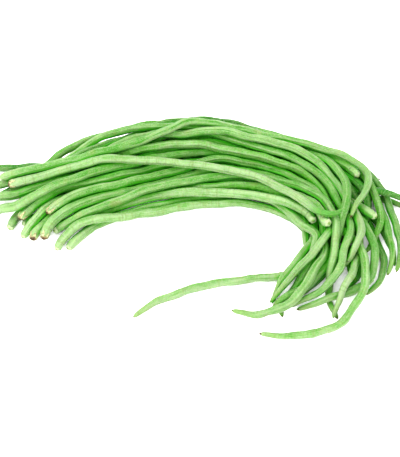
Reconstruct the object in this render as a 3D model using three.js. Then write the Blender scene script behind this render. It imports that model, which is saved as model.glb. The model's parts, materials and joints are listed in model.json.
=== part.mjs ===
// A bunch of yardlong beans lying on a table. Each pod is a closed solid of its own: a long, thin
// tube with a stalk knob at one end and a tapered tip at the other. The stem ends lie together on
// the left, the pods run along a low crest, turn round a bend on the right, and their tips fan out
// in front. Millimetres, +X along the crest towards the bend, +Z up, the table at z = 0.

import * as THREE from 'three';

// Driving dimensions of one pod.
const POD_RADIUS = 4.3;               // at mid length
const SIZE_SPREAD = [0.94, 1.08];     // thinnest and thickest pod, as a share of that
const STALK_RADIUS = 1.6;
const STALK_LENGTH = 1.5;
const LONG_STALK_LENGTH = 8;          // where the stalk wasn't broken off short
const COLLAR_RADIUS = 3.5;            // calyx collar below the stalk
const SHOULDER_LENGTH = 5.5;          // from the collar to the full thickness
const TIP_RADIUS = 1.0;               // end of the dried tip
const TAPER_LENGTH = 46;              // over which the tip end thins
const TAPER_POWER = 0.38;             // below 1 keeps the taper full until near the tip
const THINNING = 0.2;                 // loss of thickness from stem to tip, as a share of it
const WAVINESS = 0.035;               // slow change of thickness along a pod, as a share of it
const WAVE_LENGTHS = [31, 53];        // of the two slow changes, per radian
const SIDES = 8;

// Stations along a pod, where its section is placed.
const STEM_STATIONS = [0, 2.5, 7, 13];     // distances from the collar
const TIP_STATIONS = [1.2, 9, 24, 46];     // distances from the tip end
const STATION_STEP = 24;                   // on a straight stretch
const BEND_DENSITY = 26;                   // adds stations by curvature times this length

// Settling of the heap.
const SEED = 20260817;
const CLEARANCE = 0.5;                // kept between neighbouring pods
const LIFT = 1.5;                     // the layers start this much further apart, then drop
const LIFTED_FROM = 60;               // distance from an end where the full lift is reached
const DROP_STEPS = 700;
const REST_STEPS = 500;
const SETTLED = 0.7;                  // share of the rest steps after which pods only push apart
const PUSHES = 3;                     // push-apart passes in each step
const DROP = 0.3;                     // fall per step while dropping
const STIFFNESS = 0.2;                // share of the unevenness of a pod that a step smooths out
const HOLD = 0.05;                    // share of the way back to its route in plan per step
const SEARCH_STEPS = 10;              // steps between two searches for neighbours
const SEARCH_MARGIN = 6;              // gap up to which two pods count as neighbours
const SEARCH_CELL = 40;
const FLAT_SPOT = 0.3;                // a vertex this close to the table lies flat on it

// Routes of the pods from stem end to tip: points [x, y, height] on the centre line.
const FRONT_PODS = [
  [[-141, -32, 5], [-123, -9, 6], [-85, 6, 4], [-50, 18, 4], [0, 33, 4], [51, 34, 4], [88, 17, 4],
    [107, -2, 4], [115, -17, 4], [118, -32, 4], [112, -49, 4], [98, -59, 4], [82, -64, 4],
    [60, -66, 4], [12, -73, 4], [-20, -83, 4], [-47, -97, 4], [-63, -110, 4]],
  [[-131, -29, 4], [-113, -6, 4], [-82, 12, 4], [0, 36, 5], [51, 34, 5], [81, 21, 4], [102, -3, 4],
    [118, -29, 4], [109, -58, 4], [88, -86, 4], [76, -98, 4], [77, -110, 4]],
  [[-145, -10, 10], [-139, -2, 11], [-108, 14, 13], [-70, 29, 15], [-30, 39, 17], [10, 50, 19],
    [36, 52, 18], [76, 36, 13], [112, 14, 11], [127, -17, 24], [125, -28, 22], [123, -39, 19],
    [122, -50, 15], [121, -60, 10], [122, -75, 6], [122, -84, 5], [123, -95, 4], [126, -104, 4],
    [129, -112, 4]],
  [[-153, -25, 13], [-150, -15, 12], [-135, 6, 14], [-105, 24, 17], [-50, 43, 22], [-10, 58, 22],
    [26, 72, 19], [51, 65, 19], [82, 53, 17], [108, 30, 14], [120, 0, 11], [121, -38, 8],
    [108, -68, 8], [88, -93, 5], [60, -108, 4], [37, -104, 4], [29, -101, 4]],
  [[-152, 3, 14], [-132, 19, 17], [-96, 38, 21], [-56, 52, 24], [-20, 64, 23], [15, 80, 20],
    [55, 73, 20], [87, 58, 19], [113, 29, 16], [124, -2, 13], [118, -32, 11], [100, -54, 9],
    [74, -84, 5], [65, -96, 4]],
  [[-176, -17, 6], [-157, 7, 10], [-126, 36, 12], [-72, 60, 11], [-10, 75, 9], [35, 73, 9],
    [87, 48, 7], [106, 26, 5], [117, -10, 4], [115, -28, 4], [106, -43, 4]],
  [[-164, -24, 11], [-162, -13, 10], [-147, 6, 9], [-117, 33, 6], [-70, 51, 5], [-10, 61, 5],
    [31, 58, 5], [63, 47, 5], [95, 20, 4], [108, -5, 4], [113, -34, 4], [110, -52, 4]],
  [[-190, -5, 4], [-182, 14, 8], [-142, 41, 10], [-72, 71, 11], [-10, 85, 11], [52, 82, 10],
    [90, 62, 9], [112, 38, 8]],
];

const CREST_PODS = [
  [[-193, 35, 26], [-161, 44, 28], [-121, 57, 31], [-71, 60, 33], [-10, 60, 33], [30, 52, 33],
    [70, 34, 33], [98, 6, 36], [116, -17, 39], [129, -20, 43], [138, -13, 46]],
  [[-202, 45, 20], [-163, 54, 23], [-122, 63, 26], [-82, 76, 29], [-41, 90, 32], [-10, 106, 33],
    [15, 105, 32], [62, 90, 30], [114, 75, 27], [145, 61, 26], [164, 44, 26], [165, 26, 26],
    [153, 1, 27], [144, -15, 26]],
  [[-135, 64, 13], [-112, 77, 16], [-84, 90, 19], [-42, 103, 22], [-11, 102, 24], [21, 105, 28],
    [62, 92, 29], [103, 76, 28], [130, 59, 28], [145, 30, 28], [144, -3, 24], [136, -28, 17],
    [120, -61, 9], [100, -82, 6], [66, -107, 4]],
  [[-187, 41, 10], [-154, 51, 16], [-124, 68, 21], [-89, 88, 24], [-52, 101, 26], [-16, 101, 25],
    [21, 99, 27], [62, 85, 28], [102, 67, 26], [127, 46, 24], [142, 16, 20], [151, -12, 18],
    [143, -41, 17], [137, -52, 16], [131, -61, 15]],
  [[-142, 57, 11], [-120, 64, 16], [-92, 71, 22], [-51, 80, 28], [-10, 88, 30], [41, 78, 28],
    [82, 64, 26], [112, 42, 24], [125, 15, 19], [141, -20, 15], [155, -43, 12], [156, -55, 11],
    [157, -68, 8], [155, -81, 6], [149, -95, 4], [140, -108, 4], [132, -118, 4], [121, -124, 4],
    [106, -130, 4], [92, -131, 4], [74, -131, 4], [54, -128, 4]],
  [[-205, 34, 10], [-178, 49, 14], [-145, 65, 21], [-103, 86, 25], [-70, 98, 24], [-42, 103, 21],
    [-10, 104, 23], [31, 89, 27], [72, 73, 27], [104, 56, 27], [124, 34, 25], [137, 3, 22],
    [142, -29, 20], [135, -60, 15], [117, -85, 9], [84, -99, 4]],
  [[-179, 1, 12], [-172, 7, 13], [-143, 26, 16], [-101, 46, 19], [-51, 69, 18], [0, 83, 18],
    [31, 81, 17], [62, 70, 15], [100, 44, 11], [118, 8, 6], [115, -26, 4], [97, -51, 4],
    [75, -80, 4], [68, -94, 4]],
  [[-211, 9, 12], [-199, 12, 14], [-183, 11, 18], [-140, 30, 20], [-81, 57, 22], [-30, 78, 22],
    [15, 87, 22], [62, 79, 21], [102, 54, 19], [126, 25, 15], [142, -13, 11], [151, -40, 9],
    [152, -56, 8], [150, -74, 6]],
  [[-180, 21, 18], [-141, 39, 22], [-92, 58, 23], [-40, 82, 22], [0, 92, 22], [41, 88, 22],
    [87, 72, 21], [122, 44, 18], [144, 6, 14], [150, -26, 11], [146, -47, 9], [141, -67, 6],
    [135, -80, 4], [130, -91, 4], [125, -105, 4], [123, -113, 4]],
  [[-213, 27, 16], [-181, 31, 19], [-147, 44, 22], [-107, 60, 24], [-52, 84, 24], [10, 96, 22],
    [60, 86, 22], [103, 71, 20], [139, 32, 17], [158, -2, 14], [168, -28, 10], [168, -56, 7],
    [155, -77, 4], [123, -93, 4], [90, -100, 4]],
];

const BACK_PODS = [
  [[-211, 44, 14], [-173, 50, 18], [-126, 69, 20], [-84, 92, 19], [-21, 112, 18], [42, 106, 18],
    [104, 82, 18], [137, 58, 17], [162, 15, 13], [176, -26, 9], [180, -48, 6], [170, -72, 4],
    [157, -84, 4]],
  [[-204, 60, 8], [-181, 67, 10], [-160, 70, 12], [-146, 82, 12], [-131, 97, 12], [-116, 105, 13],
    [-100, 112, 13], [-74, 118, 14], [0, 121, 14], [64, 106, 15], [125, 87, 16], [154, 67, 17],
    [170, 44, 18], [179, 14, 17], [176, -12, 15], [161, -39, 10]],
  [[-120, 84, 4], [-90, 99, 4], [-43, 121, 6], [0, 128, 7], [43, 123, 8], [98, 97, 9],
    [140, 82, 9], [166, 58, 8], [182, 26, 7], [191, -7, 6], [190, -38, 5], [188, -58, 4]],
  [[-140, 64, 10], [-74, 100, 11], [-10, 120, 12], [53, 112, 14], [108, 92, 13], [148, 70, 11],
    [169, 34, 9], [180, -4, 8], [184, -40, 6], [179, -60, 4]],
  [[-118, 86, 10], [-90, 95, 11], [-50, 102, 12], [11, 106, 12], [60, 98, 12], [99, 81, 12],
    [138, 56, 12], [161, 41, 11], [183, 33, 9], [222, 23, 4]],
  [[-100, 84, 6], [-80, 93, 6], [-50, 101, 7], [0, 104, 8], [50, 97, 8], [99, 78, 8], [140, 56, 8],
    [165, 45, 7], [190, 34, 5], [216, 23, 4]],
];

// These lie the other way round: their stem ends are at the bend.
const TURNED_PODS = [
  [[124, -28, 37], [118, -15, 31], [110, 0, 24], [96, 18, 17], [60, 40, 11], [25, 46, 9],
    [-30, 44, 9], [-90, 28, 9], [-126, 8, 8]],
  [[110, -15, 20], [108, -2, 15], [90, 14, 8], [60, 27, 8], [20, 35, 9], [-40, 34, 10],
    [-90, 22, 9], [-130, 8, 6], [-165, 8, 5]],
  [[173, -7, 25], [156, 8, 23], [139, 26, 19], [115, 53, 16], [72, 75, 16], [20, 85, 17],
    [-41, 79, 16], [-85, 62, 15], [-120, 46, 13]],
  [[159, 41, 27], [151, 53, 26], [122, 70, 23], [73, 88, 22], [11, 102, 21], [-53, 103, 18],
    [-90, 90, 16], [-118, 76, 14]],
  [[175, 71, 13], [162, 74, 12], [126, 92, 8], [85, 111, 6], [43, 127, 6], [0, 134, 5],
    [-43, 118, 4], [-100, 93, 4], [-147, 81, 4], [-190, 79, 4], [-244, 81, 4]],
  [[186, 66, 8], [179, 58, 8], [165, 62, 7], [140, 80, 6], [105, 100, 5], [60, 121, 5],
    [0, 129, 5], [-50, 117, 5], [-90, 96, 5]],
];

// These carry the others and are mostly hidden.
const UNDER_PODS = [
  [[-45, 98, 12], [-15, 101, 13], [20, 102, 14], [70, 94, 15], [120, 76, 14], [150, 52, 14],
    [166, 28, 14], [158, 5, 15], [141, -24, 11], [124, -50, 6], [101, -77, 4], [91, -87, 4]],
  [[-178, 2, 4], [-120, 28, 4], [-60, 46, 4], [0, 52, 4], [45, 49, 4], [84, 32, 4], [107, 5, 4],
    [120, -25, 4], [118, -55, 4]],
  [[-60, 95, 4], [0, 112, 4], [60, 106, 4], [110, 86, 4], [145, 56, 4], [169, 22, 4], [184, -8, 4],
    [191, -36, 4], [191, -50, 4]],
  [[-90, 62, 4], [-40, 82, 4], [20, 86, 4], [70, 72, 4], [110, 44, 4], [136, 10, 4], [149, -24, 4],
    [148, -37, 4], [145, -53, 4], [139, -69, 4], [130, -82, 4]],
];

// These keep the stalk that they hung on.
const LONG_STALKED = ['turned_pod_5', 'turned_pod_6'];

// --- One pod as a chain of stations ------------------------------------------------------------

function seededRandom(seed) {
  let state = seed;
  return () => {
    state = (state * 1664525 + 1013904223) % 4294967296;
    return state / 4294967296;
  };
}

// Distances along the pod where a section is placed: close together at the ends and in bends.
function stationDistances(curve, length, stalk) {
  const FINE = 200;
  const first = stalk + STEM_STATIONS[STEM_STATIONS.length - 1];
  const last = length - TIP_STATIONS[TIP_STATIONS.length - 1];
  const tangents = curve.getSpacedPoints(FINE).map((_, i) => curve.getTangentAt(i / FINE));
  const weights = [0];
  for (let i = 1; i <= FINE; i += 1) {
    const middle = (i - 0.5) / FINE * length;
    const turn = tangents[i].angleTo(tangents[i - 1]);
    const inside = middle > first && middle < last ? 1 : 0;
    weights.push(weights[i - 1] + inside * (length / FINE + turn * BEND_DENSITY));
  }
  const total = weights[FINE];
  const count = Math.max(2, Math.round(total / STATION_STEP));
  const body = [];
  for (let k = 1; k < count; k += 1) {
    const wanted = k / count * total;
    const i = weights.findIndex((weight) => weight >= wanted);
    const share = (wanted - weights[i - 1]) / (weights[i] - weights[i - 1]);
    body.push((i - 1 + share) / FINE * length);
  }
  const tipEnd = TIP_STATIONS.map((d) => length - d).reverse();
  return [0, stalk / 2, ...STEM_STATIONS.map((d) => d + stalk), ...body, ...tipEnd, length];
}

// Thickness along a pod: stalk, collar, shoulder, body with slow swellings, tapered tip.
function podRadius(distance, length, stalk, size, phases) {
  if (distance < stalk) return STALK_RADIUS;
  const fromTip = length - distance;
  const shoulder = THREE.MathUtils.smoothstep(distance - stalk, 0, SHOULDER_LENGTH);
  const taper = Math.min(1, fromTip / TAPER_LENGTH) ** TAPER_POWER;
  const [waveA, waveB] = WAVE_LENGTHS.map((l, i) => Math.sin(distance / l + phases[i]));
  const thinning = 1 + THINNING * (0.5 - distance / length);
  const body = POD_RADIUS * size * thinning * (1 + WAVINESS * (waveA + waveB) / 2);
  const stem = COLLAR_RADIUS + (body - COLLAR_RADIUS) * shoulder;
  return TIP_RADIUS + (stem - TIP_RADIUS) * taper;
}

function makeChain(name, route, random) {
  const guide = new THREE.CatmullRomCurve3(route.map((p) => new THREE.Vector3(...p)), false,
    'centripetal');
  guide.arcLengthDivisions = 400;
  const length = guide.getLength();
  const size = THREE.MathUtils.lerp(...SIZE_SPREAD, random());
  const phases = WAVE_LENGTHS.map(() => random() * 2 * Math.PI);
  const stalk = LONG_STALKED.includes(name) ? LONG_STALK_LENGTH : STALK_LENGTH;
  const distances = stationDistances(guide, length, stalk);
  const stations = distances.map((d) => guide.getPointAt(Math.min(1, d / length)));
  const lifts = distances.map((d) => {
    return THREE.MathUtils.lerp(1, LIFT, Math.min(1, d / LIFTED_FROM, (length - d) / LIFTED_FROM));
  });
  return {
    name,
    guide: stations,
    points: stations.map((p, i) => new THREE.Vector3(p.x, p.y, p.z * lifts[i])),
    radii: distances.map((d) => podRadius(d, length, stalk, size, phases)),
  };
}

// --- Settling the heap -------------------------------------------------------------------------

const FLOOR_SHARE = Math.cos(Math.PI / SIDES);   // half the height of a section standing on a flat

// Closest points of segments a0-a1 and b0-b1, as shares s and t along them.
function closestShares(a0, a1, b0, b1) {
  const d1x = a1.x - a0.x, d1y = a1.y - a0.y, d1z = a1.z - a0.z;
  const d2x = b1.x - b0.x, d2y = b1.y - b0.y, d2z = b1.z - b0.z;
  const rx = a0.x - b0.x, ry = a0.y - b0.y, rz = a0.z - b0.z;
  const a = d1x * d1x + d1y * d1y + d1z * d1z;
  const e = d2x * d2x + d2y * d2y + d2z * d2z;
  const b = d1x * d2x + d1y * d2y + d1z * d2z;
  const c = d1x * rx + d1y * ry + d1z * rz;
  const f = d2x * rx + d2y * ry + d2z * rz;
  const clamp = (v) => Math.min(1, Math.max(0, v));
  const denominator = a * e - b * b;
  let s = denominator > 1e-9 * a * e ? clamp((b * f - c * e) / denominator) : 0.5;
  let t = (b * s + f) / e;
  if (t < 0 || t > 1) {
    t = clamp(t);
    s = clamp((b * t - c) / a);
  }
  return [s, t];
}

// Pairs of segments on different pods that are near enough to touch soon.
function nearPairs(chains, margin) {
  const cells = new Map();
  chains.forEach((chain, c) => {
    for (let i = 0; i + 1 < chain.points.length; i += 1) {
      const p = chain.points[i];
      const q = chain.points[i + 1];
      const cx0 = Math.floor((Math.min(p.x, q.x) - margin) / SEARCH_CELL);
      const cx1 = Math.floor((Math.max(p.x, q.x) + margin) / SEARCH_CELL);
      const cy0 = Math.floor((Math.min(p.y, q.y) - margin) / SEARCH_CELL);
      const cy1 = Math.floor((Math.max(p.y, q.y) + margin) / SEARCH_CELL);
      for (let cx = cx0; cx <= cx1; cx += 1) {
        for (let cy = cy0; cy <= cy1; cy += 1) {
          const key = cx * 1000 + cy;
          if (!cells.has(key)) cells.set(key, []);
          cells.get(key).push([c, i]);
        }
      }
    }
  });
  const pairs = new Map();
  for (const members of cells.values()) {
    for (const [c, i] of members) {
      for (const [k, j] of members) {
        if (c < k) pairs.set(((c * 100 + i) * 100 + k) * 100 + j, [chains[c], i, chains[k], j]);
      }
    }
  }
  return [...pairs.values()].filter(([a, i, b, j]) => {
    const [s, t] = closestShares(a.points[i], a.points[i + 1], b.points[j], b.points[j + 1]);
    const p = a.points[i].clone().lerp(a.points[i + 1], s);
    const q = b.points[j].clone().lerp(b.points[j + 1], t);
    return p.distanceTo(q) < 2 * POD_RADIUS + margin;
  });
}

// Push apart the pairs that are closer than their thickness and the clearance allow.
function pushApart(pairs) {
  const p = new THREE.Vector3();
  const q = new THREE.Vector3();
  for (const [a, i, b, j] of pairs) {
    const [a0, a1, b0, b1] = [a.points[i], a.points[i + 1], b.points[j], b.points[j + 1]];
    const [s, t] = closestShares(a0, a1, b0, b1);
    p.lerpVectors(a0, a1, s);
    q.lerpVectors(b0, b1, t);
    const apart = q.sub(p);
    const distance = apart.length();
    const radiusA = Math.max(a.radii[i], a.radii[i + 1]);
    const radiusB = Math.max(b.radii[j], b.radii[j + 1]);
    const overlap = radiusA + radiusB + CLEARANCE - distance;
    if (overlap <= 0) continue;
    apart.multiplyScalar(overlap / Math.max(distance, 1e-6) / 2);
    const shareA = 1 / ((1 - s) * (1 - s) + s * s);
    const shareB = 1 / ((1 - t) * (1 - t) + t * t);
    a0.addScaledVector(apart, -(1 - s) * shareA);
    a1.addScaledVector(apart, -s * shareA);
    b0.addScaledVector(apart, (1 - t) * shareB);
    b1.addScaledVector(apart, t * shareB);
  }
}

// One step of a pod on its own: it falls, smooths itself, keeps to its route and stays on the table.
function relax(chain, drop, hold) {
  const { points, guide, radii } = chain;
  const last = points.length - 1;
  const offsets = points.map((p, i) => [p.x - guide[i].x, p.y - guide[i].y, p.z]);
  const spans = points.map((p, i) => (i ? p.distanceTo(points[i - 1]) : 0));
  points.forEach((p, i) => {
    const wanted = [0, 1, 2].map((axis) => {
      const o = (k) => offsets[k][axis];
      if (i === 0) return axis < 2 ? o(1) : o(1) + (o(1) - o(2)) * spans[1] / spans[2];
      if (i === last) {
        const ratio = spans[last] / spans[last - 1];
        return axis < 2 ? o(last - 1) : o(last - 1) + (o(last - 1) - o(last - 2)) * ratio;
      }
      const before = spans[i];
      const after = spans[i + 1];
      return (o(i - 1) * after + o(i + 1) * before) / (before + after);
    });
    p.x += (wanted[0] - offsets[i][0]) * STIFFNESS - offsets[i][0] * hold;
    p.y += (wanted[1] - offsets[i][1]) * STIFFNESS - offsets[i][1] * hold;
    const room = (spans[i] || spans[1]) * (spans[i + 1] || spans[last]);
    const reach = Math.min(1, room / STATION_STEP ** 2);
    p.z += (wanted[2] - offsets[i][2]) * STIFFNESS - drop * reach;
    p.z = Math.max(p.z, radii[i] * FLOOR_SHARE);
  });
}

function settle(chains) {
  let pairs = [];
  for (let step = 0; step < DROP_STEPS + REST_STEPS; step += 1) {
    if (step % SEARCH_STEPS === 0) pairs = nearPairs(chains, SEARCH_MARGIN);
    const calm = Math.max(0, (step - DROP_STEPS) / REST_STEPS);
    if (calm < SETTLED) {
      chains.forEach((chain) => relax(chain, DROP * (1 - calm), HOLD * (1 - calm)));
    }
    for (let pass = 0; pass < PUSHES; pass += 1) {
      pushApart(pairs);
      chains.forEach(({ points, radii }) => points.forEach((p, i) => {
        p.z = Math.max(p.z, radii[i] * FLOOR_SHARE);
      }));
    }
  }
}

// --- Solids ------------------------------------------------------------------------------------

// A closed tube through the chain's points, with a flat side facing down.
function tubeGeometry({ points, radii }) {
  const last = points.length - 1;
  const positions = [points[0].clone()];
  const up = new THREE.Vector3(0, 0, 1);
  for (let i = 1; i < last; i += 1) {
    const ahead = points[i + 1].clone().sub(points[i]).normalize();
    const behind = points[i].clone().sub(points[i - 1]).normalize();
    const along = ahead.add(behind).normalize();
    const across = up.clone().cross(along).normalize();
    const rise = along.clone().cross(across);
    for (let k = 0; k < SIDES; k += 1) {
      const angle = (k + 0.5) / SIDES * 2 * Math.PI;
      positions.push(points[i].clone()
        .addScaledVector(across, radii[i] * Math.cos(angle))
        .addScaledVector(rise, radii[i] * Math.sin(angle)));
    }
  }
  positions.push(points[last].clone());
  const ring = (i, k) => 1 + (i - 1) * SIDES + (k + SIDES) % SIDES;
  const triangles = [];
  for (let k = 0; k < SIDES; k += 1) {
    triangles.push(0, ring(1, k + 1), ring(1, k));
    for (let i = 1; i < last - 1; i += 1) {
      triangles.push(ring(i, k), ring(i + 1, k + 1), ring(i + 1, k));
      triangles.push(ring(i, k), ring(i, k + 1), ring(i + 1, k + 1));
    }
    triangles.push(positions.length - 1, ring(last - 1, k), ring(last - 1, k + 1));
  }
  for (const p of positions) {
    if (p.z < FLAT_SPOT) p.z = 0;
  }
  const geometry = new THREE.BufferGeometry().setFromPoints(positions);
  geometry.setIndex(triangles);
  geometry.computeVertexNormals();
  return geometry;
}

const random = seededRandom(SEED);
const chains = [];
for (const [kind, routes] of Object.entries({ front: FRONT_PODS, crest: CREST_PODS,
  back: BACK_PODS, turned: TURNED_PODS, under: UNDER_PODS })) {
  routes.forEach((route, i) => chains.push(makeChain(`${kind}_pod_${i + 1}`, route, random)));
}
settle(chains);

const bunch = new THREE.Group();
bunch.name = 'yardlong_bean_bunch';
const GREENS = [0x8fc25a, 0x7fb54a, 0xa3cf6c, 0x8abf63];
chains.forEach((chain, i) => {
  const material = new THREE.MeshStandardMaterial({ color: GREENS[i % GREENS.length],
    roughness: 0.5, metalness: 0 });
  const pod = new THREE.Mesh(tubeGeometry(chain), material);
  pod.name = chain.name;
  bunch.add(pod);
});

// The origin is at the middle of the bunch's box, on the table.
const box = new THREE.Box3().setFromObject(bunch);
const middle = box.getCenter(new THREE.Vector3());
bunch.position.set(-middle.x, -middle.y, -box.min.z);
bunch.updateMatrixWorld(true);

export default bunch;
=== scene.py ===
"""Yardlong bean bunch: fine pods, materials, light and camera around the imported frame. Metres, +Z up.

Each pod's centre line and thickness are read from its solid in the frame. A finer pod is then built
along them, with the swellings of its seeds, its two seams, a calyx at the stem end and a dried tip.
"""

import json
import math

import bpy
import numpy as np
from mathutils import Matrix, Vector
from mathutils.kdtree import KDTree


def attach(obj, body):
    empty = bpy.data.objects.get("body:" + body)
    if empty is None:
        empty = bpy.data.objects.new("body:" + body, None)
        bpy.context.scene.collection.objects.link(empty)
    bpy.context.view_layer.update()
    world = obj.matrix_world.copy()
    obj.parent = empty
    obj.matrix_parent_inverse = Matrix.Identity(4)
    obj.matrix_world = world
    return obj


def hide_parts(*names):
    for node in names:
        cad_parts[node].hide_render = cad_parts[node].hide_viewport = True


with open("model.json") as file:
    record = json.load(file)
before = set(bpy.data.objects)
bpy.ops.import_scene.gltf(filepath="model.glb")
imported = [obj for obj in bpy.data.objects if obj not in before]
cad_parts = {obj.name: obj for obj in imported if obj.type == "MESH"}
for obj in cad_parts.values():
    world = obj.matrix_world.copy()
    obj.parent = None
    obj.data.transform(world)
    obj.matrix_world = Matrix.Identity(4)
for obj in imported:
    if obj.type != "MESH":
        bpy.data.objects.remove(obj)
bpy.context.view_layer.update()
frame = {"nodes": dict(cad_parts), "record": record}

SEED = 4105

# Camera: where it aims on the table, from the frame's origin, and how it looks there.
AIM = Vector((0.0110, -0.0050, 0.0))
DISTANCE = 1.1
ELEVATION = math.radians(50)
SENSOR = 36.0
FOCAL_PIXELS = 1100
IMAGE_HEIGHT = 457

# Fine pod.
SOLID_SIDES = 8               # of the pod's section in the frame
SIDES = 28                    # of its section here
STEP = 0.0015                 # between rings
END_LENGTH = 0.012            # stretch at each end where the rings lie closer
END_RINGS = 22
FIRST_SEED = (0.012, 0.024)   # its place from the stem end
LAST_SEED = 0.012             # at least so far from the tip
SEED_GAP = (0.015, 0.025)     # between two seeds
SEED_SWELL = (0.008, 0.042)   # how far a seed swells the pod, as a share of its radius
KNOBBY_SWELL = (0.02, 0.10)   # the same on a pod that has dried in round its seeds
PINCH_CHANCE = 0.14           # of a narrow place between two seeds
PINCH_DEPTH = (0.03, 0.08)
PINCH_LENGTH = 0.005
SWELL_FADES = (0.02, 0.03)    # from no swellings at the stem end and at the tip to full ones
DENTS = 0.015                 # depth of the slight dents of the skin, as a share of the radius
DENT_WAVES = ((1, 0.013), (2, 0.009), (2, 0.017), (3, 0.007), (4, 0.011), (5, 0.006))
                              # of each kind of dent: how many lie round the pod, and their length
DENT_SPREAD = (0.85, 1.15)    # of that length from pod to pod
DENT_SWAY = 2                 # how far a row of dents sways to and fro round the pod, in radians
DENT_SWAY_LENGTH = 0.05       # along the pod for a radian of that sway
DENT_FADE = 0.01              # from no dents at the stem end to full ones
ROUND_SHARE = 0.955           # radius of a round section of about the same area as the solid's
OVAL = 0.04                   # half the difference of the two widths, as a share of the radius
OVAL_FADE = 0.03              # from round at the stem end to fully oval
TWISTS = (-0.35, 0.35)        # turns of the seams along a pod
SEAM_DEPTH = 0.09             # of the ventral seam's groove, as a share of the radius
RIDGE_HEIGHT = 0.035          # of the dorsal seam
SEAM_WIDTH = 0.28             # of both, as an angle round the pod
WANDER = 0.00025              # how far the centre line strays from side to side
WANDER_WAVES = (0.033, 0.051, 0.080)
WANDER_FADE = 0.03            # from no stray at both ends
TAIL_WANDER = 0.6             # by how many times more it strays near the tip
TAIL_SWELL = 0.9              # by how much more seeds swell the thin tail
TAIL_LENGTH = 0.18
FLOOR_GAP = 0.00002           # between the floor and the lowest points
SHOULDER = 0.005              # from the collar to the full thickness
COLLAR_SHARE = 0.45           # of the full thickness, at the collar
STALK_RADIUS = 0.0013
STALK_FLARE = 0.25            # by how much it is thicker at the collar
TAPER_POWER = 0.38            # as in the solids, so that their few rings give the whole taper
TIP_LENGTH = 0.004            # of the dried tip
TIP_SHARE = 0.35              # of the thickness that is left at its end
CAPS = (0.3, 0.6)             # how far the cut stalk and the tip bulge, as a share of their radius

# Where other pods cover the skin, which sets the painted shade between pods, and where they press into
# it.
COVER_REACH = 0.022           # how far a pod's centre may be from another's to cover it
TOUCH_REACH = 0.011           # the same to touch it
PRESSED_SHARE = 0.7           # of the depth by which two pods would overlap, taken off each

# Bake map of a pod.
MAP_STRIPS = 4                # the skin is unrolled in this many strips
MAP_EDGE = 0.04
CALYX_STRIP = 0.35            # the calyx takes this much of a strip's height

# Calyx: the dried collar with its teeth round the stalk.
TEETH = 5
CALYX_SIDES = 50
CALYX_ROWS = 6
CUP_START = 0.0005            # before the collar
CUP_LENGTH = 0.0008
TOOTH_LENGTH = 0.0058
STUB_TOOTH_LENGTH = 0.0009    # where the teeth have come off
COLLAR_THICKNESS = 0.00035
COLLAR_SWELL = 1.1            # how many times thicker than that it is at its start
COLLAR_THINNING = 0.6         # how much of that is gone at the ends of the teeth
FLARE = 0.0003                # how far the ends of the teeth stand off
TOOTH_SHARPNESS = 3
TOOTH_SPREAD = 0.25           # how much longer or shorter than most a tooth can be

# Pods that differ from the rest.
STAR_CALYX = ("crest_pod_1", "crest_pod_7", "front_pod_4", "front_pod_5", "front_pod_7")
KNOBBY = ("front_pod_1", "crest_pod_5", "front_pod_4", "crest_pod_10", "crest_pod_6")
VIVID_TIP = ("crest_pod_1",)
PALEST = ("crest_pod_1",)
# How pale the pods of each layer are, from -1 to 1. The steps between layers are partly painted shade and
# light:
# pods under others and at the back are deeper, those in front and on the crest paler.
PALENESS = {"front": 0.35, "crest": 0.35, "turned": 0.0, "back": -0.6, "under": -1.0}
PALENESS_SPREAD = 0.5
PALEST_TONE = 0.75
PATTERN_SHIFTS = (0, 50)      # range of each pod's shift of the patterns, so that no two are alike
DRIED = (0.1, 1)              # how much of the tip is dried, as a share of DRIED_LENGTH
DRIED_LENGTH = 0.0026

# Skins. All colours are screen colours. Of each skin: its pale parts, its deep parts, the painted shade
# where other pods cover it, and how wrinkled it is.
SKIN_LOOKS = {
    "apple_green_skin": ("90b274", "448d1b", "50b014", 0.7),
    "pale_green_skin": ("9eba85", "589a2f", "5eb822", 1.0),
    "deep_green_skin": ("789e5b", "307b17", "42a210", 0.6),
}
# What is painted over that, in this order. The gaps paint is painted shade, deepest where other pods
# cover the skin most.
PAINTS = {
    "seams": "a2bd85", "patches": "a8c091", "speckle": "b0ca9b", "blush": "b3a070", "pale tail": "9eac88",
    "stem end": "b2c896", "near the tip": "84a058", "vivid tip": "5e9c42", "wrinkles": "76944c",
    "flecks": "7d7a3c", "dried tip": "5d4a2c", "scar": "93a566", "stalk": "56553c", "gaps": "3cb614",
}
STAR_SCAR = "4e3a1c"
# The calyx: the dark and the light parts of its ring, its teeth, and the stub where they have come off.
RING, TEETH_COLOURS, STUB = ("35260e", "7a5c2a"), ("7d6430", "c8cc98"), ("a4c088", "bcc69a")
# Noise patterns of the skin: scale, detail, roughness, and stretch along and round the pod.
PATTERNS = {
    "mottle": (1, 4, 0.6, (70, 210, 210)),
    "bands": (1, 2, 0.5, (7, 330, 330)),
    "streaks": (1, 3, 0.5, (40, 800, 800)),
    "wrinkles": (1, 3, 0.6, (450, 80, 80)),
    "dents": (170, 2, 0.5, (1, 1, 1)),
    "patches": (26, 2, 0.5, (1, 1, 1)),
    "speckle": (850, 2, 0.5, (1, 1, 1)),
    "blush": (45, 3, 0.5, (1, 1, 1)),
    "flecks": (380, 1, 0.5, (1, 1, 1)),
}
# The skin's shader. Its low IOR keeps gaps between the pods from turning grey with reflected floor.
WAXY = {
    "IOR": 1.22, "Subsurface Weight": 0.3, "Subsurface Radius": (0.3, 1.0, 0.1),
    "Subsurface Scale": 0.004, "Sheen Weight": 0.03, "Sheen Roughness": 0.45,
}
SKIN_RELIEF = 0.0011          # height of the bumps
CALYX_RELIEF = 0.0003
CALYX_GRAIN = 700             # scale of its noise

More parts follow.
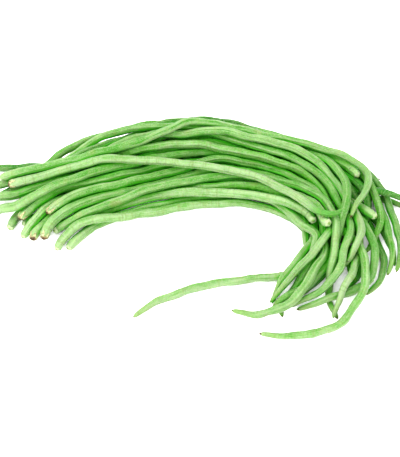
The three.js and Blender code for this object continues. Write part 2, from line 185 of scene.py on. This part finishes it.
# Studio.
FLOOR_SIZE = 12.0
FLOOR_COLOUR = (0.95, 0.95, 0.95)
FLOOR_ROUGHNESS = 0.9
SKY = (0.97, 1.0, 0.96)
SKY_STRENGTH = 1.1
LAMPS = {"key": ((-0.55, 0.1, 1.3), 1.2, 10), "fill": ((-0.2, -1.0, 0.7), 1.0, 6.5)}  # place, size, watts
LIGHT = 2.0                   # how much brighter the studio is than one that shows white as white

rng = np.random.default_rng(SEED)


# --- Reading a pod's solid ---------------------------------------------------------------------

def merged(mesh):
    """Vertex positions without doubles, and each vertex's neighbours."""
    raw = np.empty(len(mesh.vertices) * 3)
    mesh.vertices.foreach_get("co", raw)
    raw = raw.reshape(-1, 3)
    keys, index = np.unique(np.round(raw, 6), axis=0, return_inverse=True)
    index = index.reshape(-1)
    near = [set() for _ in keys]
    for edge in mesh.edges:
        a, b = (int(index[v]) for v in edge.vertices)
        if a != b:
            near[a].add(b)
            near[b].add(a)
    return keys, near


def rings_from(start, points, near):
    """The sets of vertices at 0, 1, 2 ... edges from start."""
    levels, seen = [[start]], {start}
    while True:
        ahead = sorted({n for v in levels[-1] for n in near[v]} - seen)
        if not ahead:
            return levels
        levels.append(ahead)
        seen.update(ahead)


def centre_line(mesh):
    """Centres and radii of a pod's rings from the stem end to the tip."""
    points, near = merged(mesh)
    ends = [v for v in range(len(points)) if is_apex(v, near)]
    levels = rings_from(ends[0], points, near)
    centres = np.array([points[level].mean(axis=0) for level in levels])
    radii = np.array([np.linalg.norm(points[level] - c, axis=1).mean()
                      for level, c in zip(levels, centres)])
    gaps = np.linalg.norm(np.diff(centres, axis=0), axis=1)
    if gaps[1] > gaps[-2]:                 # the rings of the collar lie closer than those of the tip
        centres, radii = centres[::-1], radii[::-1]
    return centres, radii


def is_apex(vertex, near):
    """Only an apex has a whole ring of the solid as its neighbours."""
    ring = near[vertex]
    return len(ring) == SOLID_SIDES and all(len(near[v] & ring) == 2 for v in ring)


# --- Curves along a pod ------------------------------------------------------------------------

def natural_spline(knots, values, at):
    """Values of a natural cubic spline through the knots."""
    n = len(knots)
    h = np.diff(knots)
    slope = np.diff(values, axis=0) / h[:, None]
    matrix = np.zeros((n, n))
    right = np.zeros((n, values.shape[1]))
    matrix[0, 0] = matrix[-1, -1] = 1
    for i in range(1, n - 1):
        matrix[i, i - 1:i + 2] = h[i - 1], 2 * (h[i - 1] + h[i]), h[i]
        right[i] = 6 * (slope[i] - slope[i - 1])
    second = np.linalg.solve(matrix, right)
    i = np.clip(np.searchsorted(knots, at, side="right") - 1, 0, n - 2)
    x = (at - knots[i])[:, None]
    hi = h[i][:, None]
    return (values[i] + x * (slope[i] - hi * (2 * second[i] + second[i + 1]) / 6)
            + x ** 2 * second[i] / 2 + x ** 3 * (second[i + 1] - second[i]) / (6 * hi))


def smooth_step(x):
    """From 0 to 1 with a soft start and end."""
    x = np.clip(x, 0, 1)
    return x * x * (3 - 2 * x)


def seed_profile(distance, length, swells):
    """Share by which seeds swell and gaps pinch the pod, along its length."""
    swell = np.zeros_like(distance)
    place = rng.uniform(*FIRST_SEED)
    while place < length - LAST_SEED:
        gap = rng.uniform(*SEED_GAP)
        high = rng.uniform(*swells)
        low = -rng.uniform(*PINCH_DEPTH) if rng.random() < PINCH_CHANCE else 0.0
        x = (distance - place) / (gap / 2)
        swell += high * np.where(np.abs(x) < 1, np.cos(x * math.pi / 2) ** 2, 0)
        between = (distance - place - gap / 2) / PINCH_LENGTH
        swell += low * np.exp(-between ** 2)
        place += gap
    ends = smooth_step(distance / SWELL_FADES[0]) * smooth_step((length - distance) / SWELL_FADES[1])
    tail = 1 + TAIL_SWELL * smooth_step(1 - (length - distance) / TAIL_LENGTH)
    return swell * ends * tail


def dents(distance, angle):
    """Slight irregular dents and flats all over the skin, as a share of the radius."""
    relief = np.zeros((len(distance), len(angle)))
    for around, wave in DENT_WAVES:
        turn, phase = rng.uniform(0, 2 * math.pi, 2)
        reach = rng.uniform(*DENT_SPREAD) * wave
        sway = DENT_SWAY * np.sin(distance / DENT_SWAY_LENGTH)
        relief += (np.sin(around * angle[None, :] + turn + sway[:, None])
                   * np.sin(2 * math.pi * distance / reach + phase)[:, None])
    return DENTS * relief / 2


def wander(distance, length):
    """Slow sideways strays of the centre line, nothing at the ends."""
    ends = smooth_step(distance / WANDER_FADE) * smooth_step((length - distance) / WANDER_FADE)
    ends = ends * (1 + TAIL_WANDER * smooth_step(1 - (length - distance) / TAIL_LENGTH))
    stray = np.zeros((len(distance), 2))
    for axis in range(2):
        for wave in WANDER_WAVES:
            stray[:, axis] += np.sin(distance / wave * 2 * math.pi + rng.uniform(0, 2 * math.pi))
    return WANDER * stray * ends[:, None]


def frames_along(path):
    """Unit vectors along, across and rising from the path, with no needless twist."""
    along = np.gradient(path, axis=0)
    along /= np.linalg.norm(along, axis=1)[:, None]
    across = np.empty_like(along)
    across[0] = np.cross((0, 0, 1), along[0])
    across[0] /= np.linalg.norm(across[0])
    for i in range(1, len(path)):
        side = across[i - 1] - along[i] * (across[i - 1] @ along[i])
        across[i] = side / np.linalg.norm(side)
    return along, across, np.cross(along, across)


# --- Building a pod ----------------------------------------------------------------------------

def ring_distances(length):
    """Distances of the rings along a pod, closer together at both ends."""
    body = np.linspace(0, length, int(length / STEP))
    head = np.linspace(0, END_LENGTH, END_RINGS)
    return np.unique(np.concatenate([head, body[(body > END_LENGTH) & (body < length - END_LENGTH)],
                                     length - head]))[1:-1]


def body_radius(distance, length, collar, knots, radii):
    """Thickness of the pod without its seeds: stalk, rounded shoulder, body, taper and dried tip."""
    warp = lambda d: -(length - d) ** TAPER_POWER
    keep = knots >= collar - 1e-6
    body = np.interp(warp(distance), warp(knots[keep]), radii[keep])
    full = np.interp(collar + SHOULDER, knots, radii)
    x = np.clip((distance - collar) / SHOULDER, 0, 1)
    shoulder = full * (COLLAR_SHARE + (1 - COLLAR_SHARE) * np.sqrt(1 - (1 - x) ** 2))
    stalk = STALK_RADIUS * (1 + STALK_FLARE * (distance / collar) ** 2)
    radius = np.where(distance < collar + SHOULDER, shoulder, body)
    tip = smooth_step((length - distance) / TIP_LENGTH)
    return np.where(distance < collar, stalk, radius) * (TIP_SHARE + (1 - TIP_SHARE) * tip)


def grid_faces(rows, columns, first):
    """Quads between neighbouring rows of a tube of closed rings, with each corner's row and column."""
    i, k = np.meshgrid(np.arange(rows - 1), np.arange(columns), indexing="ij")
    corners = [(i, k), (i, k + 1), (i + 1, k + 1), (i + 1, k)]
    faces = np.stack([first + r * columns + c % columns for r, c in corners], axis=-1)
    places = np.stack([np.stack([r, c], axis=-1) for r, c in corners], axis=-2)
    return faces.reshape(-1, 4), places.reshape(-1, 4, 2)


def skin_map(places, distance):
    """Bake map of the tube: strips of the unrolled skin above each other."""
    cuts = np.linspace(0, len(distance) - 1, MAP_STRIPS + 1).round().astype(int)
    strip = np.clip(np.searchsorted(cuts, places[:, 0, 0], side="right") - 1, 0, MAP_STRIPS - 1)
    starts, widths = distance[cuts[:-1]], np.diff(distance[cuts]).max()
    u = (distance[places[:, :, 0]] - starts[strip][:, None]) / widths
    v = strip[:, None] + MAP_EDGE + (1 - 2 * MAP_EDGE) * places[:, :, 1] / SIDES
    return np.stack([u, v / (MAP_STRIPS + CALYX_STRIP)], axis=-1)


def pod_tube(path, along, across, rise, distance, radius, swell, turned):
    """Vertices, faces, bake map and skin coordinates of the pod's body."""
    rings = len(distance)
    angle = (np.arange(SIDES) / SIDES * 2 * math.pi)[None, :]
    oval = 1 + OVAL * np.cos(2 * angle) * np.clip(distance / OVAL_FADE, 0, 1)[:, None]
    groove = np.exp(-(np.minimum(angle, 2 * math.pi - angle) / SEAM_WIDTH) ** 2)
    ridge = np.exp(-((angle - math.pi) / SEAM_WIDTH) ** 2)
    seams = 1 - SEAM_DEPTH * groove + RIDGE_HEIGHT * ridge
    relief = 1 + dents(distance, angle[0]) * smooth_step(distance / DENT_FADE)[:, None]
    body = radius[:, None] * (1 + swell[:, None]) * oval * seams * relief
    skin = (path[:, None] + across[:, None] * (body * np.cos(turned))[..., None]
            + rise[:, None] * (body * np.sin(turned))[..., None])
    flat = np.stack([np.broadcast_to(distance[:, None], body.shape),
                     radius[:, None] * np.cos(angle), radius[:, None] * np.sin(angle)], axis=-1)
    vertices = np.concatenate([skin.reshape(-1, 3), path[:1] - along[:1] * radius[0] * CAPS[0],
                               path[-1:] + along[-1:] * radius[-1] * CAPS[1]])
    coordinates = np.concatenate([flat.reshape(-1, 3), flat[:1, 0], flat[-1:, 0]])
    faces, places = grid_faces(rings, SIDES, 0)
    uv = skin_map(places, distance)
    head, tail = rings * SIDES, rings * SIDES + 1
    k = np.arange(SIDES)
    caps = [(head, (k + 1) % SIDES, k, 0), (tail, (rings - 1) * SIDES + k,
                                            (rings - 1) * SIDES + (k + 1) % SIDES, 1)]
    cap_faces, cap_uv = [], []
    for apex, a, b, end in caps:
        cap_faces += np.stack([np.full(SIDES, apex), a, b], axis=-1).tolist()
        row = MAP_STRIPS - 1 if end else 0
        place = lambda c: (row + MAP_EDGE + (1 - 2 * MAP_EDGE) * c / SIDES) / (MAP_STRIPS + CALYX_STRIP)
        cap_uv += [(end, place(c)) for c in np.repeat(k, 3)]
    seam = np.zeros(len(vertices))
    seam[:rings * SIDES].reshape(rings, SIDES)[:, [0, SIDES // 2]] = 1
    return vertices, faces.tolist() + cap_faces, uv.reshape(-1, 2).tolist() + cap_uv, coordinates, seam


def calyx(path, across, rise, distance, radius, collar, tooth_length, first):
    """A dried collar with pointed teeth that lie on the pod's shoulder: an outer and an inner sheet
    of closed rings, joined at both rims."""
    angle = np.arange(CALYX_SIDES) / CALYX_SIDES * 2 * math.pi
    phase = rng.uniform(0, 2 * math.pi)
    tooth = np.abs(np.cos(TEETH * (angle + phase) / 2)) ** TOOTH_SHARPNESS
    reach = CUP_LENGTH + tooth_length * tooth * (1 + TOOTH_SPREAD * np.sin(3 * angle + phase))
    shares = np.linspace(0, 1, CALYX_ROWS)
    rows, places_along = [], []
    for lift, order in ((COLLAR_THICKNESS, shares), (-COLLAR_THICKNESS, shares[::-1])):
        for share in order:
            d = collar - CUP_START + share * (reach + CUP_START)
            r = np.interp(d, distance, radius) + lift * (COLLAR_SWELL - share * COLLAR_THINNING)
            r = np.maximum(r, STALK_RADIUS / 2) + (lift > 0) * FLARE * share ** 3 * tooth
            centre = np.stack([np.interp(d, distance, path[:, axis]) for axis in range(3)], axis=-1)
            side = np.stack([np.interp(d, distance, across[:, axis]) for axis in range(3)], axis=-1)
            up = np.stack([np.interp(d, distance, rise[:, axis]) for axis in range(3)], axis=-1)
            rows.append(centre + side * (r * np.cos(angle))[:, None] + up * (r * np.sin(angle))[:, None])
            places_along.append(d)
    rows.append(rows[0])
    vertices = np.concatenate(rows[:-1])
    faces, places = grid_faces(len(rows), CALYX_SIDES, 0)
    faces = first + faces % len(vertices)
    u = places[:, :, 1] / CALYX_SIDES
    v = (MAP_STRIPS + MAP_EDGE + (CALYX_STRIP - 2 * MAP_EDGE) * places[:, :, 0] / (len(rows) - 1))
    uv = np.stack([u, v / (MAP_STRIPS + CALYX_STRIP)], axis=-1)
    return vertices, faces.tolist(), uv.reshape(-1, 2).tolist(), np.concatenate(places_along)


class Line:
    """A pod's fine centre line: places, thickness and the directions along and round it."""

    def __init__(self, node):
        self.node = node
        centres, radii = centre_line(frame["nodes"][node].data)
        knots = np.concatenate([[0], np.cumsum(np.linalg.norm(np.diff(centres, axis=0), axis=1))])
        self.length, self.collar = knots[-1], knots[2]
        self.distance = ring_distances(self.length)
        path = natural_spline(knots, centres, self.distance)
        self.along, self.across, self.rise = frames_along(path)
        stray = wander(self.distance, self.length)
        self.path = path + self.across * stray[:, :1] + self.rise * stray[:, 1:]
        self.radius = body_radius(self.distance, self.length, self.collar, knots, radii * ROUND_SHARE)


class Bunch:
    """All the pods' centres for a quick search, with each one's thickness and pod."""

    def __init__(self, lines):
        self.points = np.concatenate([line.path for line in lines])
        self.radii = np.concatenate([line.radius for line in lines])
        self.owner = np.concatenate([np.full(len(line.path), i) for i, line in enumerate(lines)])
        self.tree = KDTree(len(self.points))
        for i, point in enumerate(self.points):
            self.tree.insert(point, i)
        self.tree.balance()

    def near(self, place, reach, own):
        """Centres of the other pods within reach of a place."""
        found = self.tree.find_range(place, reach)
        return np.array([j for _, j, _ in found if self.owner[j] != own], dtype=int)


def cover(line, own, bunch, outward):
    """About what share of the light from all round other pods keep off each vertex of the body, for the
    shade painted into the skin.
    """
    covered = np.zeros((len(line.path), SIDES))
    for i, centre in enumerate(line.path):
        near = bunch.near(centre, COVER_REACH, own)
        if len(near):
            near = near[np.argsort(np.linalg.norm(bunch.points[near] - centre, axis=1))]
            near = near[np.unique(bunch.owner[near], return_index=True)[1]]    # the nearest of each pod
            way = bunch.points[near] - (centre + outward[i] * line.radius[i])[:, None]
            far = np.linalg.norm(way, axis=2)
            facing = np.clip((way * outward[i][:, None]).sum(axis=2) / far, 0, None)
            covered[i] = (facing * np.minimum(bunch.radii[near] / far, 1)).sum(axis=1)
    return np.minimum(covered, 1)


def pressed_in(tube, own, bunch):
    """How far each vertex of the tube gives way to the pods that it would cut into."""
    depth = np.zeros(tube.shape[:2])
    for i, ring in enumerate(tube):
        near = bunch.near(ring.mean(axis=0), TOUCH_REACH, own)
        if len(near):
            far = np.linalg.norm(bunch.points[near] - ring[:, None], axis=2)
            depth[i] = np.clip(bunch.radii[near] - far, 0, None).max(axis=1)
    return PRESSED_SHARE * depth


def build_pod(line, own, bunch, tone, skin, dry):
    """A pod's mesh with its two materials, its bake map and what the materials need at each vertex:
    the place on the unrolled skin, the distances from the collar and the tip with the pod's tone,
    the marks (seam, how dried the tip is, star calyx) and how covered it is, which sets the painted
    shade."""
    node, length, collar = line.node, line.length, line.collar
    distance, radius = line.distance, line.radius
    path, along, across, rise = line.path, line.along, line.across, line.rise
    swell = seed_profile(distance, length, KNOBBY_SWELL if node in KNOBBY else SEED_SWELL)
    star = node in STAR_CALYX
    start, turns = rng.uniform(0, 2 * math.pi), rng.uniform(*TWISTS)
    turned = (np.arange(SIDES) / SIDES * 2 * math.pi + start
              + (turns * 2 * math.pi * distance / length)[:, None])
    body, faces, uv, coordinates, seam = pod_tube(path, along, across, rise, distance, radius, swell,
                                                  turned)
    outward = across[:, None] * np.cos(turned)[..., None] + rise[:, None] * np.sin(turned)[..., None]
    tube = body[:len(distance) * SIDES].reshape(-1, SIDES, 3)
    tube -= outward * pressed_in(tube, own, bunch)[..., None]
    cup, cup_faces, cup_uv, cup_along = calyx(path, across, rise, distance, radius, collar,
                                              TOOTH_LENGTH if star else STUB_TOOTH_LENGTH, len(body))
    vertices = np.concatenate([body, cup])
    vertices[:, 2] = np.maximum(vertices[:, 2], FLOOR_GAP)

    mesh = bpy.data.meshes.new(f"bean_{node}")
    mesh.from_pydata(vertices.tolist(), [], faces + cup_faces)
    mesh.uv_layers.new(name="OFBake").data.foreach_set("uv", np.array(uv + cup_uv).ravel())
    mesh.materials.append(skin)
    mesh.materials.append(dry)
    mesh.polygons.foreach_set("material_index", [0] * len(faces) + [1] * len(cup_faces))
    mesh.polygons.foreach_set("use_smooth", [True] * len(mesh.polygons))

    shift = np.array([rng.uniform(*PATTERN_SHIFTS), 0, 0])
    along_pod = np.concatenate([coordinates[:, 0], cup_along])
    coordinates = np.concatenate([coordinates, cup]) + shift
    ends = np.stack([along_pod - collar, length - along_pod, np.full(len(vertices), tone)], axis=-1)
    dried = -1.0 if node in VIVID_TIP else rng.uniform(*DRIED)
    marks = np.stack([np.concatenate([seam, np.zeros(len(cup))]), np.full(len(vertices), dried),
                      np.full(len(vertices), float(star))], axis=-1)
    covered = np.zeros((len(vertices), 3))
    # How covered each vertex is: the skin paints shade by it.
    covered[:len(distance) * SIDES, 0] = cover(line, own, bunch, outward).ravel()
    for name, values in (("skin", coordinates), ("ends", ends), ("marks", marks), ("cover", covered)):
        mesh.attributes.new(name, "FLOAT_VECTOR", "POINT").data.foreach_set("vector", values.ravel())
    mesh.validate()
    pod = bpy.data.objects.new(f"bean_{node}", mesh)
    bpy.context.scene.collection.objects.link(pod)
    return pod


# --- Materials ---------------------------------------------------------------------------------

class Nodes:
    """Short calls that add and join the nodes of one material."""

    def __init__(self, name):
        self.material = bpy.data.materials.new(name)
        self.material.use_nodes = True
        self.tree = self.material.node_tree
        self.shader = self.tree.nodes["Principled BSDF"]

    def put(self, value, socket):
        """Joins another node's output, or sets a plain value."""
        if hasattr(value, "is_output"):
            self.tree.links.new(value, socket)
        else:
            socket.default_value = value

    def attribute(self, name):
        node = self.tree.nodes.new("ShaderNodeAttribute")
        node.attribute_name = name
        return node

    def split(self, vector):
        node = self.tree.nodes.new("ShaderNodeSeparateXYZ")
        self.put(vector, node.inputs[0])
        return node.outputs

    def noise(self, vector, scale, detail=2.0, rough=0.5, stretch=(1, 1, 1)):
        mapping = self.tree.nodes.new("ShaderNodeMapping")
        mapping.inputs["Scale"].default_value = stretch
        self.put(vector, mapping.inputs["Vector"])
        node = self.tree.nodes.new("ShaderNodeTexNoise")
        self.put(mapping.outputs[0], node.inputs["Vector"])
        node.inputs["Scale"].default_value = scale
        node.inputs["Detail"].default_value = detail
        node.inputs["Roughness"].default_value = rough
        return node.outputs["Fac"]

    def ramp(self, value, low, high, out_low=0.0, out_high=1.0):
        node = self.tree.nodes.new("ShaderNodeMapRange")
        node.interpolation_type = "SMOOTHSTEP"
        for socket, number in zip(("From Min", "From Max", "To Min", "To Max"),
                                  (low, high, out_low, out_high)):
            node.inputs[socket].default_value = number
        self.put(value, node.inputs["Value"])
        return node.outputs[0]

    def math(self, operation, a, b):
        node = self.tree.nodes.new("ShaderNodeMath")
        node.operation = operation
        self.put(a, node.inputs[0])
        self.put(b, node.inputs[1])
        return node.outputs[0]

    def weighted(self, *terms):
        """The sum of the values, each times its weight."""
        parts = [self.math("MULTIPLY", value, weight) for value, weight in terms]
        total = parts[0]
        for part in parts[1:]:
            total = self.math("ADD", total, part)
        return total

    def mix(self, share, a, b):
        node = self.tree.nodes.new("ShaderNodeMix")
        node.data_type = "RGBA"
        self.put(share, node.inputs["Factor"])
        for value, socket in ((a, node.inputs["A"]), (b, node.inputs["B"])):
            self.put(value if hasattr(value, "is_output") else (*value, 1), socket)
        return node.outputs["Result"]

    def bump(self, height, strength, distance):
        node = self.tree.nodes.new("ShaderNodeBump")
        node.inputs["Strength"].default_value = strength
        node.inputs["Distance"].default_value = distance
        self.put(height, node.inputs["Height"])
        self.put(node.outputs[0], self.shader.inputs["Normal"])

    def finish(self, colour, roughness):
        self.put(colour, self.shader.inputs["Base Color"])
        self.put(roughness, self.shader.inputs["Roughness"])
        return self.material


def rgb(code):
    """A linear colour from a hex code of a screen colour, as it looks in the studio's strong light."""
    parts = [int(code[i:i + 2], 16) / 255 for i in (0, 2, 4)]
    return tuple((c / 12.92 if c <= 0.04045 else ((c + 0.055) / 1.055) ** 2.4) / LIGHT for c in parts)


def bean_skin(name):
    """Waxy green skin: deeper at mid length and paler towards the ends, mottled, streaked along the pod
    and finely wrinkled across it, with paler seams, a scarred stem end and a dried tip. Where other
    pods cover it, shade is painted in as a darker, purer green."""
    n = Nodes(name)
    *colours, wrinkles = SKIN_LOOKS[name]
    light, deep, shaded = (rgb(code) for code in colours)
    skin = n.attribute("skin").outputs["Vector"]
    from_stem, from_tip, tone = n.split(n.attribute("ends").outputs["Vector"])
    seam, dried, star = n.split(n.attribute("marks").outputs["Vector"])
    # How covered the skin is, which sets the painted shade.
    covered = n.split(n.attribute("cover").outputs["Vector"])[0]
    pattern = {kind: n.noise(skin, *numbers) for kind, numbers in PATTERNS.items()}
    bands = n.ramp(pattern["bands"], 0.34, 0.66)

    share = n.weighted((pattern["mottle"], 1.8), (pattern["streaks"], 1.0), (bands, 0.55), (tone, 0.35),
                       (pattern["wrinkles"], 0.8 * wrinkles), (n.ramp(from_tip, 0.26, 0.05, -0.12, 0), 1),
                       (n.ramp(from_stem, 0.14, 0.01, 0, 0.12), 1))
    middle = 1.62 + 0.4 * wrinkles
    colour = n.mix(n.ramp(share, middle - 0.6, middle + 0.6), deep, light)

    layers = {
        "seams": n.math("MULTIPLY", n.ramp(seam, 0.35, 1), 0.35),
        "patches": n.ramp(pattern["patches"], 0.56, 0.80, 0, 0.5),
        "speckle": n.ramp(pattern["speckle"], 0.48, 0.66, 0, 0.32),
        "blush": n.ramp(pattern["blush"], 0.58, 0.74, 0, 0.28),
        # paler tails on pods of a high tone, partly painted light
        "pale tail": n.math("MULTIPLY", n.ramp(from_tip, 0.20, 0.03), n.ramp(tone, -0.3, 0.6, 0, 0.33)),
        "stem end": n.ramp(from_stem, 0.030, 0, 0, 0.55),
        "near the tip": n.ramp(from_tip, 0.030, 0.006, 0, 0.5),
        "vivid tip": n.math("MULTIPLY", n.ramp(dried, 0, -1), n.ramp(from_tip, 0.042, 0.022)),
        "wrinkles": n.ramp(pattern["wrinkles"], 0.52, 0.64, 0, 0.5 * wrinkles),
        "flecks": n.ramp(pattern["flecks"], 0.72, 0.80, 0, 0.45),
        "dried tip": n.ramp(n.math("SUBTRACT", from_tip, n.math("MULTIPLY", dried, DRIED_LENGTH)),
                            0.0012, 0),
        "scar": n.ramp(from_stem, 0.0009, -0.0004),
        "stalk": n.ramp(from_stem, -0.0016, -0.0026),
        # painted shade, deepest where other pods cover the skin most
        "gaps": n.ramp(covered, 0.58, 1.00, 0, 0.8),
    }
    for layer, code in PAINTS.items():
        paint = rgb(code)
        if layer == "scar":
            paint = n.mix(star, paint, rgb(STAR_SCAR))
        # Painted shade where other pods cover the skin: first the shaded colour, then the deepest gaps
        # paint.
        if layer == "gaps":
            colour = n.mix(n.ramp(covered, 0.10, 0.85, 0, 0.82), colour, shaded)
        colour = n.mix(layers[layer], colour, paint)

    for socket, value in WAXY.items():
        n.put(value, n.shader.inputs[socket])
    n.bump(n.weighted((pattern["wrinkles"], wrinkles), (pattern["streaks"], 0.4), (bands, 0.8),
                      (pattern["dents"], 0.8)), 1.0, SKIN_RELIEF)
    return n.finish(colour, n.ramp(pattern["streaks"], 0.3, 0.7, 0.40, 0.54))


def dry_calyx():
    """What is left of the calyx: on a star calyx a brown ring round the stalk with cream teeth, on the
    others a pale green stub."""
    n = Nodes("dry_calyx")
    from_stem = n.split(n.attribute("ends").outputs["Vector"])[0]
    star = n.split(n.attribute("marks").outputs["Vector"])[2]
    spot = n.tree.nodes.new("ShaderNodeTexCoord").outputs["Object"]
    grain = n.noise(spot, CALYX_GRAIN, detail=4)
    ring = n.mix(n.ramp(grain, 0.35, 0.65), *map(rgb, RING))
    teeth = n.mix(n.ramp(grain, 0.42, 0.54), *map(rgb, TEETH_COLOURS))
    stub = n.mix(n.ramp(grain, 0.42, 0.66), *map(rgb, STUB))
    colour = n.mix(star, stub, n.mix(n.ramp(from_stem, 0, 0.0010), ring, teeth))
    n.bump(grain, 0.6, CALYX_RELIEF)
    return n.finish(colour, n.ramp(grain, 0.3, 0.7, 0.7, 0.9))


def plain(name, colour, roughness):
    return Nodes(name).finish((*colour, 1), roughness)


# --- The scene ---------------------------------------------------------------------------------

def add_camera():
    data = bpy.data.cameras.new("camera")
    data.sensor_width = SENSOR
    data.lens = FOCAL_PIXELS * SENSOR / IMAGE_HEIGHT
    camera = bpy.data.objects.new("camera", data)
    bpy.context.scene.collection.objects.link(camera)
    back = Vector((0, -math.cos(ELEVATION), math.sin(ELEVATION)))
    camera.location = AIM + back * DISTANCE
    camera.rotation_euler = (-back).to_track_quat("-Z", "Y").to_euler()
    bpy.context.scene.camera = camera


def add_lamp(name, place, size, power):
    """A soft round lamp that shines at the frame's origin."""
    data = bpy.data.lights.new(name, "AREA")
    data.shape = "DISK"
    data.size = size
    data.energy = power * LIGHT
    light = bpy.data.objects.new(name, data)
    bpy.context.scene.collection.objects.link(light)
    light.location = place
    light.rotation_euler = (-Vector(place)).to_track_quat("-Z", "Y").to_euler()


def add_sky():
    world = bpy.data.worlds.new("studio")
    world.use_nodes = True
    background = world.node_tree.nodes["Background"].inputs
    background["Color"].default_value = (*SKY, 1)
    background["Strength"].default_value = SKY_STRENGTH * LIGHT
    bpy.context.scene.world = world


def add_floor():
    mesh = bpy.data.meshes.new("floor")
    half = FLOOR_SIZE / 2
    mesh.from_pydata([(-half, -half, 0), (half, -half, 0), (half, half, 0), (-half, half, 0)], [],
                     [(0, 1, 2, 3)])
    mesh.materials.append(plain("floor_white", FLOOR_COLOUR, FLOOR_ROUGHNESS))
    floor = bpy.data.objects.new("floor", mesh)
    bpy.context.scene.collection.objects.link(floor)


add_camera()
add_floor()
add_sky()
for name, lamp in LAMPS.items():
    add_lamp(name, *lamp)
bpy.context.scene.view_settings.view_transform = "Standard"
bpy.context.scene.view_settings.look = "Medium High Contrast"

skins = {name: bean_skin(name) for name in SKIN_LOOKS}
dry = dry_calyx()
lines = [Line(part["node"]) for part in frame["record"]["subparts"]]
bunch = Bunch(lines)
for own, (line, part) in enumerate(zip(lines, frame["record"]["subparts"])):
    # Tone: painted shade and light by layer, with each pod's own random tone added.
    tone = PALENESS[line.node.split("_")[0]] + rng.uniform(-1, 1) * PALENESS_SPREAD
    tone = PALEST_TONE if line.node in PALEST else tone
    pod = build_pod(line, own, bunch, tone, skins[part["material_slot"]], dry)
    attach(pod, "root")
    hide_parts(part["node"])
